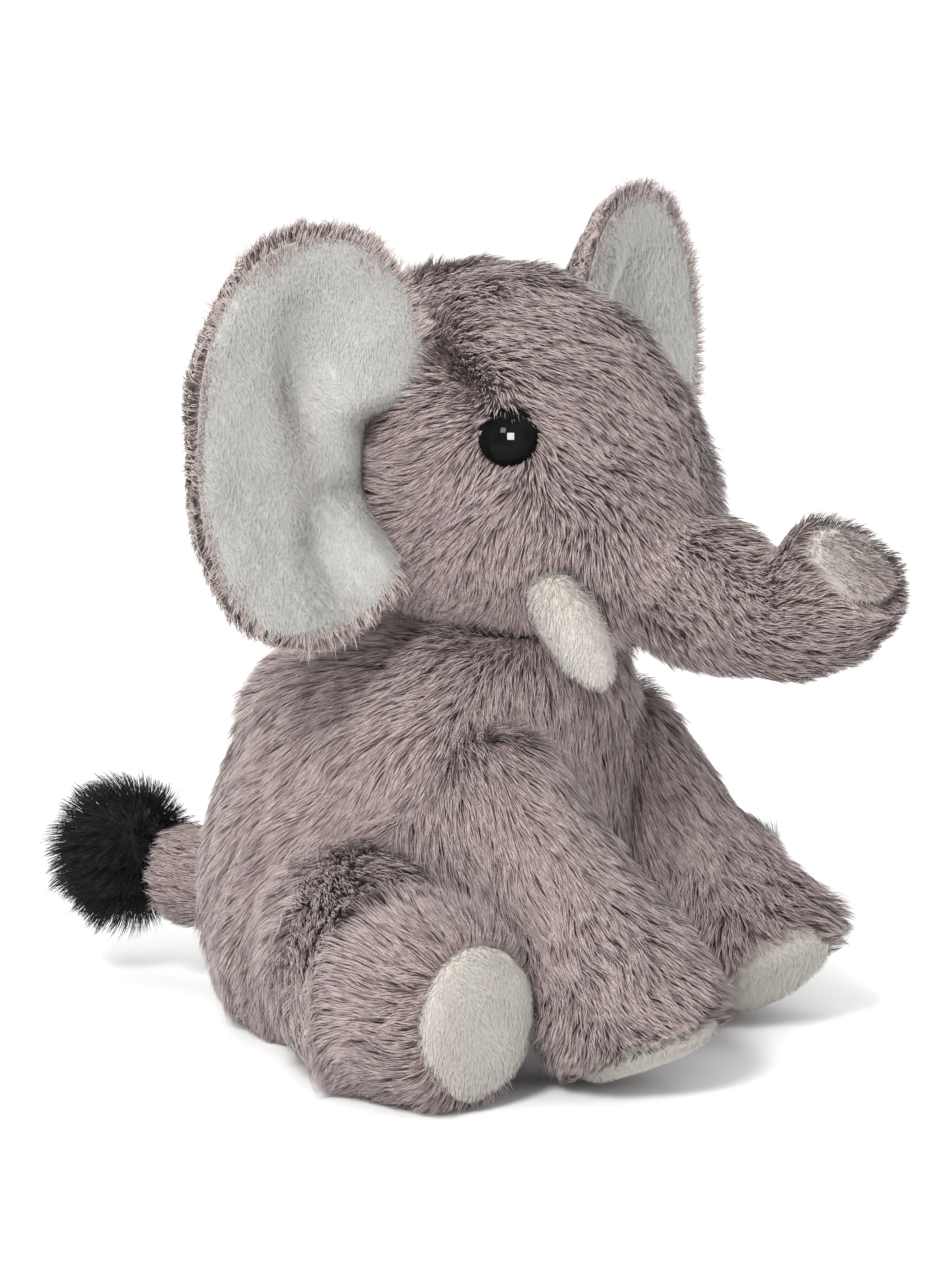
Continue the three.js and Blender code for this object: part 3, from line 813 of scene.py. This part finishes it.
for side in SIDES:
    dress(eye_dome(side), "head", EYE_PLASTIC, "eye_gloss", f"eye_{side}")
    washer = nodes[f"eye_washer_{side}"]
    washer.data.materials.clear()
    washer.data.materials.append(WASHER_PLASTIC)

for name, node in nodes.items():
    if "stuffing" in name or name in ("bean_pouch", "neck_ring"):
        node.data.materials.clear()
        inner = {"bean_pouch": POUCH_COTTON, "neck_ring": BACKING}.get(name, FIBRE_FILL)
        node.data.materials.append(inner)

# ---------- the lie of the pile ----------
# A guide is a place on the skin and the way the pile lies there. A way shorter than 1 stands up.
def guide(place, way):
    return (Vector(place) * MM, Vector(way))


def head_guide(place, way):
    return (from_head(*place), Matrix.Rotation(HEAD_TURN, 3, "Z") @ Vector(way))


BODY_COMB = [
    guide((0, 57, 30), (0, 0.1, -1)),
    guide((0, 45, 62), (0, 0.5, -1)),
    guide((0, -28, 60), (0, -0.4, -0.9)),
    guide((0, -24, 20), (0, -0.2, -1)),
]
HEAD_COMB = [
    head_guide((0, 2, 162), (0, -0.6, 0)),
    head_guide((0, 35, 145), (0, 1, -0.3)),
    head_guide((0, 45, 115), (0, 0.2, -1)),
    head_guide((0, -24, 152), (0, -0.9, 0.1)),
    head_guide((0, -42, 136), (0, -0.8, -0.1)),
    head_guide((0, -54, 118), (0, -0.8, -0.2)),
    head_guide((0, -75, 106), (0, -1, 0)),
    head_guide((0, -72, 82), (0, -1, -0.1)),
    head_guide((0, -50, 84), (0, -0.5, -1)),
    head_guide((0, -25, 80), (0, 0.3, -1)),
]
for sign in SIDES.values():
    BODY_COMB += [
        guide((sign * 32, 0, 68), (sign * 0.2, 0.5, -0.5)),
        guide((sign * 44, 10, 52), (0, 0.6, -0.8)),
        guide((sign * 46, 30, 30), (0, 0.6, -0.8)),
        guide((sign * 32, 42, 50), (sign * 0.2, 0.7, -0.7)),
        guide((sign * 30, 45, 20), (0, 0.4, -0.9)),
        guide((sign * 42, -14, 40), (0, 0.1, -1)),
        guide((sign * 24, -26, 64), (sign * 0.3, -0.2, -0.6)),
    ]
    HEAD_COMB += [
        head_guide((sign * 20, -14, 154), (0, -0.6, 0)),
        head_guide((sign * 18, -38, 138), (0, -0.7, -0.2)),
        head_guide((sign * 31, -10, 142), (0, 0.1, -0.1)),
        head_guide((sign * 34, 3, 126), (0, 1, -0.1)),
        head_guide((sign * 30, 20, 130), (sign * 0.2, 1, -0.2)),
        head_guide((sign * 34, -10, 114), (0, 0.9, -0.4)),
        head_guide((sign * 31, -25, 115), (0, 0.15, -0.25)),
        head_guide((sign * 27, -37, 117), (0, -0.05, -0.15)),
        head_guide((sign * 20, -47, 122), (sign * 0.1, -0.2, -0.05)),
        head_guide((sign * 23, -47, 106), (0, -0.05, -0.3)),
        head_guide((sign * 28, -28, 98), (0, 0.2, -1)),
        head_guide((sign * 31, -8, 98), (0, 0.6, -0.8)),
        head_guide((sign * 27, -5, 86), (0, 0.4, -1)),
        head_guide((sign * 14, -62, 96), (sign * 0.05, -0.35, -0.25)),
        head_guide((sign * 13, -85, 100), (0, -0.5, 0.1)),
    ]


def leg_comb(pair, side):
    """Along the leg and down, and away from the sole all round its edge."""
    sole = middle(f"{pair}_sole_{side}")
    top = joint_place(f"{pair}_leg_lift_{side}")
    along = (sole - top).normalized()
    across = along.cross(Vector((0, 0, 1))).normalized()
    upward = across.cross(along).normalized()
    drop = Vector((0, 0, -0.5 if pair == "hind" else -0.2))
    over_edge = -0.3 if pair == "hind" else 0.25
    comb = [
        (top, along + drop),
        (top.lerp(sole, 0.4), along + drop),
        (top.lerp(sole, 0.7), along * 0.3 + drop * 0.6),
    ]
    for angle in np.linspace(0, 2 * math.pi, 9)[:-1]:
        out = across * math.cos(angle) + upward * math.sin(angle)
        comb.append((sole + out * 17 * MM - along * 5 * MM, out * 0.7 + along * over_edge))
    return comb


def ear_comb(side):
    """Outwards from the middle of the ear."""
    comb = []
    for angle in np.linspace(0, 2 * math.pi, 13)[:-1]:
        x = EAR_CENTRE[0] + EAR_HALF[0] * math.cos(angle)
        z = EAR_CENTRE[1] + EAR_HALF[1] * math.sin(angle)
        place = from_head(SIDES[side] * x, ear_middle(x, z, 1), z)
        comb.append((place, Vector((SIDES[side] * math.cos(angle), 0.1, math.sin(angle)))))
    return comb


VELVET_COMB = [guide((0, 0, 0), (0, -0.1, -0.6))]  # one lie for all of it, hanging a little
TAIL_COMB = [guide((0, 55, 26), (0, 1, 0)), guide((0, 75, 25), (0, 1, 0))]
POMPOM_COMB = [
    guide((0, 88, 42), (0, 0.5, 0.4)),
    guide((0, 88, 12), (0, 0.5, -0.6)),
    guide((-14, 88, 27), (-0.4, 0.5, -0.2)),
    guide((14, 88, 27), (0.4, 0.5, -0.2)),
    guide((0, 103, 27), (0, 0.2, -0.3)),
]


# ---------- where pile grows ----------
def outside(axis, low=-math.inf, high=math.inf):
    """Says which points aren't between two places along an axis."""

    def test(points, normals):
        return (points[:, axis] < low) | (points[:, axis] >= high)

    return test


def round_eyes(points, normals):
    """No pile grows under the eyes."""
    found = np.zeros(len(points), bool)
    for eye in eye_places:
        found |= np.linalg.norm(points - np.array(eye), axis=1) < EYE_BARE * MM
    return found


eye_places = [from_head(sign * EYE_PLACE[0], *EYE_PLACE[1:]) for sign in SIDES.values()]
skins = [torso, head, tail, pompom, *legs.values(), *ears.values(), *velvets.values()]
tree = {obj.name: tree_of(obj) for obj in skins}
leg_trees = [tree[skin.name] for skin in legs.values()]
tusk_trees = [tree[velvets["tusk", side].name] for side in SIDES]
pad_tree = tree["trunk_tip_velvet"]
# The pile of the body and of the head is in two pieces on each side, split at these places along Y.
BODY_SPLIT = 12 * MM
HEAD_SPLIT = -30 * MM
UNDERSIDE = 1.5 * MM  # none grows below this height under the body


def plush(name, skin, body, pile, guides, seed, bare, trimmed_by=(), kind=(GREY_STRANDS, "plush_grey")):
    """A skin's pile, on its body. `kind` is its strand materials and a slot name, which is not used."""
    strands, slot = kind
    fur = grow_pile(name, skin, pile, guides, strands, seed, bare, trimmed_by)
    if body:
        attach(fur, body)
    return fur


for side, sign in SIDES.items():
    half = outside(0, low=0) if sign > 0 else outside(0, high=0)
    hidden = buried([*leg_trees, tree["head_skin"]], 2 * MM)
    for end, low, high in (("front", -math.inf, BODY_SPLIT), ("back", BODY_SPLIT, math.inf)):
        bare = either(half, outside(1, low, high), outside(2, low=UNDERSIDE), hidden)
        plush(f"body_pile_{end}_{side}", torso, "torso", LONG_PILE, BODY_COMB, 10 + sign, bare)

    hidden = buried([*tusk_trees, tree["body_skin"]])
    trimmed_by = [pad_tree, *tusk_trees]
    for end, low, high in (("face", -math.inf, HEAD_SPLIT), ("crown", HEAD_SPLIT, math.inf)):
        bare = either(half, outside(1, low, high), round_eyes, near([pad_tree], 0.8 * MM), hidden)
        name = f"head_pile_{end}_{side}"
        fur = plush(name, head, None, FACE_PILE, HEAD_COMB, 20 + sign, bare, trimmed_by)
        bends_with_trunk(fur)

    for pair in ("hind", "front"):
        sole = tree[velvets[pair, side].name]
        bare = either(near([sole], 0.3 * MM), buried([tree["body_skin"]], 4 * MM))
        body = "hind_leg_" + side if pair == "hind" else None
        seed = 30 + sign + (5 if pair == "hind" else 0)
        name, comb = f"{pair}_leg_pile_{side}", leg_comb(pair, side)
        fur = plush(name, legs[pair, side], body, LONG_PILE, comb, seed, bare, [sole])
        if pair == "front":
            bends_at_shoulder(fur)

    velvet = tree[velvets["ear", side].name]
    bare = either(near([velvet], 0.3 * MM), buried([tree["head_skin"]]))
    # The ear's pile takes the lighter strands: painted light on the rim.
    kind, comb = (PAINTED_LIGHT_RIM_STRANDS, "plush_grey"), ear_comb(side)
    plush(f"ear_pile_{side}", ears[side], f"ear_{side}", RIM_PILE, comb, 40 + sign, bare, kind=kind)

plush("tail_pile", tail, "tail", RIM_PILE, TAIL_COMB, 50, buried([tree["body_skin"]]))
kind = (BLACK_STRANDS, "plush_black")
plush("pompom_pile", pompom, "tail", BLACK_PILE, POMPOM_COMB, 60, buried([tree["tail_skin"]]), kind=kind)

VELVET_BODIES = {
    "ear": "ear_{}",
    "tusk": "head",
    "hind": "hind_leg_{}",
    "front": "front_leg_{}",
    "trunk": "trunk",
}
bare = buried([tree["head_skin"], tree["body_skin"]], 0.5 * MM)
for seed, ((part, side), velvet) in enumerate(velvets.items(), 70):
    kind = (PALE_STRANDS, "velvet_pale") if part == "ear" else (CREAM_STRANDS, "velvet_cream")
    name = velvet.name.replace("_velvet", "_velvet_pile")
    body = VELVET_BODIES[part].format(side)
    plush(name, velvet, body, VELVET_PILE, VELVET_COMB, seed, bare, kind=kind)


# ---------- stage ----------
def look_at(obj, place, target):
    obj.location = place
    obj.rotation_euler = (Vector(target) - Vector(place)).to_track_quat("-Z", "Y").to_euler()


VIEW_TARGET = Vector((0, 0, 82 * MM))
VIEW_DISTANCE = 1.05
VIEW_FROM = Vector((-0.8529, -0.4924, 0.1736))  # 60 degrees round to its right, and 10 up

camera_data = bpy.data.cameras.new("camera")
camera_data.lens = 142.7
camera_data.sensor_width = 36
camera = bpy.data.objects.new("camera", camera_data)
scene.collection.objects.link(camera)
look_at(camera, VIEW_TARGET + VIEW_FROM * VIEW_DISTANCE, VIEW_TARGET)
scene.camera = camera

floor_bm = bmesh.new()
bmesh.ops.create_circle(floor_bm, cap_ends=True, segments=64, radius=6)
floor = add_object("floor", mesh_from(floor_bm, "floor"))
floor_material, floor_tree, floor_shader = new_material("studio_floor")
floor_colour, _ = mottled(floor_tree, [srgb(253, 253, 253), srgb(255, 255, 255)], 0.4, detail=0)
floor_tree.links.new(floor_colour, floor_shader.inputs["Base Color"])
floor_shader.inputs["Roughness"].default_value = 0.9
floor.data.materials.append(floor_material)

world = bpy.data.worlds.new("studio")
world.use_nodes = True
sky = world.node_tree.nodes["Background"]
sky.inputs["Color"].default_value = (1, 1, 1, 1)
sky.inputs["Strength"].default_value = 1.02
scene.world = world


def softbox(name, place, size, power):
    data = bpy.data.lights.new(name, "AREA")
    data.size = size
    data.energy = power
    made = bpy.data.objects.new(name, data)
    scene.collection.objects.link(made)
    look_at(made, place, VIEW_TARGET)
    return made


softbox("key_light", VIEW_TARGET + Vector((-0.78, -0.15, 0.62)) * 1.3, 0.3, 14)
softbox("top_light", VIEW_TARGET + Vector((0.1, 0.2, 1.2)), 0.9, 3)
# It only lights the eyes, as the bright spot in them.
catch_light = softbox("catch_light", VIEW_TARGET + Vector((-0.8, -0.55, 0.4)) * 1.2, 0.4, 100)
lit = bpy.data.collections.new("lit_by_catch_light")
for side in SIDES:
    lit.objects.link(bpy.data.objects[f"eye_dome_{side}"])
catch_light.light_linking.receiver_collection = lit

scene.view_settings.view_transform = "Standard"
